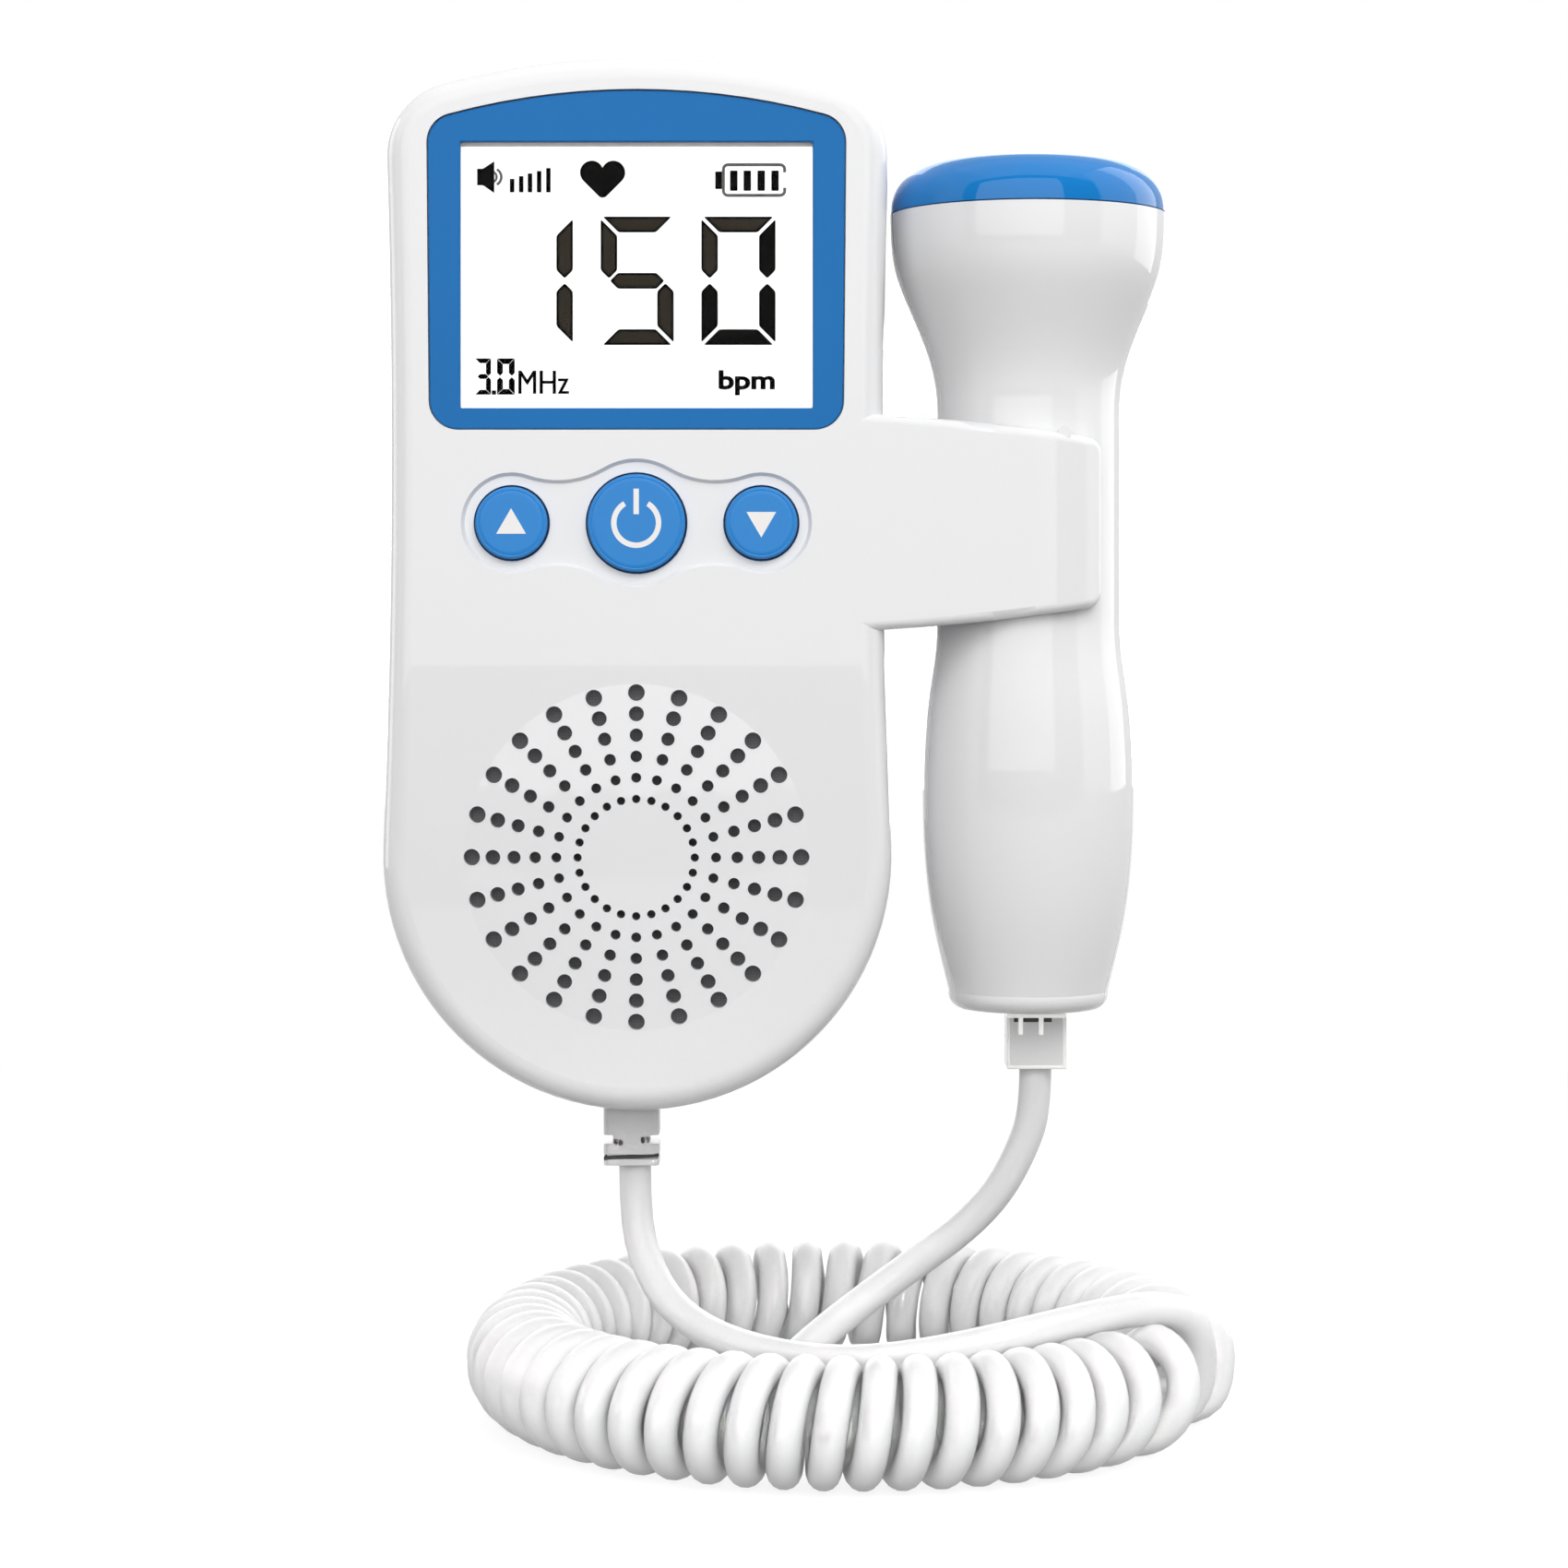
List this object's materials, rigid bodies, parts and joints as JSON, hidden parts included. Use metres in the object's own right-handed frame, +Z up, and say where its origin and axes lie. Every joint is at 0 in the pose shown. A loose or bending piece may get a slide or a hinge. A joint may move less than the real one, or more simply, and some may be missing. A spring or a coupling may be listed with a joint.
{
  "type": "fetal doppler monitor",
  "caption": "Handheld fetal doppler monitor with display, buttons and round speaker grille, its flared probe in a side holder, and a curly lead that joins the two.",
  "frame": {"origin": "centre of the main unit's flat back face", "axes": "+Z up along the unit to its arched top, -Y the way the display faces, +X to the right seen from the front, where the probe is held"},
  "size_m": [0.1156, 0.1056, 0.1847],
  "materials": {
    "white_abs": "gloss",
    "blue_bezel": "gloss",
    "blue_button": "satin",
    "blue_cap": "gloss",
    "clear_lens": "polished",
    "lcd_glass": "satin",
    "diffuser": "satin",
    "board_green": "satin",
    "black_plastic": "matte",
    "grey_cloth": "matte",
    "plated_steel": "satin",
    "speaker_paper": "matte",
    "cell_jacket": "satin",
    "piezo_ceramic": "matte",
    "plug_plastic": "satin",
    "lead_jacket": "satin"
  },
  "bodies": {
    "monitor": {"front_shell": "white_abs", "rear_shell": "white_abs", "display_bezel": "blue_bezel", "display_window": "clear_lens", "lcd_panel": "lcd_glass", "lcd_backlight": "diffuser", "main_board": "board_green", "control_chips": "black_plastic", "tact_switches": "black_plastic", "earphone_jack": "black_plastic", "grille_cloth": "grey_cloth", "speaker_frame": "plated_steel", "speaker_cone": "speaker_paper", "speaker_magnet": "plated_steel", "battery_cells": "cell_jacket", "battery_contacts": "plated_steel", "battery_springs": "plated_steel", "case_screws": "plated_steel", "unit_socket": "black_plastic", "unit_plug": "plug_plastic", "unit_lead": "lead_jacket", "lead_curl": "lead_jacket", "probe_lead": "lead_jacket"},
    "power_key": {"power_button": "blue_button"},
    "up_key": {"up_button": "blue_button"},
    "down_key": {"down_button": "blue_button"},
    "battery_lid": {"battery_cover": "white_abs"},
    "probe": {"probe_front_shell": "white_abs", "probe_rear_shell": "white_abs", "probe_cap": "blue_cap", "acoustic_window": "blue_cap", "crystal_backing": "black_plastic", "transducer_crystals": "piezo_ceramic", "probe_board": "board_green", "probe_socket": "black_plastic", "probe_plug": "plug_plastic"}
  },
  "joints": [
    {"name": "power_press", "type": "slide", "parent": "monitor", "child": "power_key", "axis": [0, 1, 0], "range_m": [0, 0.0008], "stiffness_N_per_m": 900},
    {"name": "up_press", "type": "slide", "parent": "monitor", "child": "up_key", "axis": [0, 1, 0], "range_m": [0, 0.0008], "stiffness_N_per_m": 900},
    {"name": "down_press", "type": "slide", "parent": "monitor", "child": "down_key", "axis": [0, 1, 0], "range_m": [0, 0.0008], "stiffness_N_per_m": 900},
    {"name": "battery_cover_hinge", "type": "hinge", "parent": "monitor", "child": "battery_lid", "pos_m": [0, -0.0012, -0.0037], "axis": [1, 0, 0], "range_deg": [0, 75]},
    {"name": "probe_release", "type": "slide", "parent": "monitor", "child": "probe", "axis": [0.7071, 0.7071, 0], "range_m": [0, 0.035]}
  ]
}
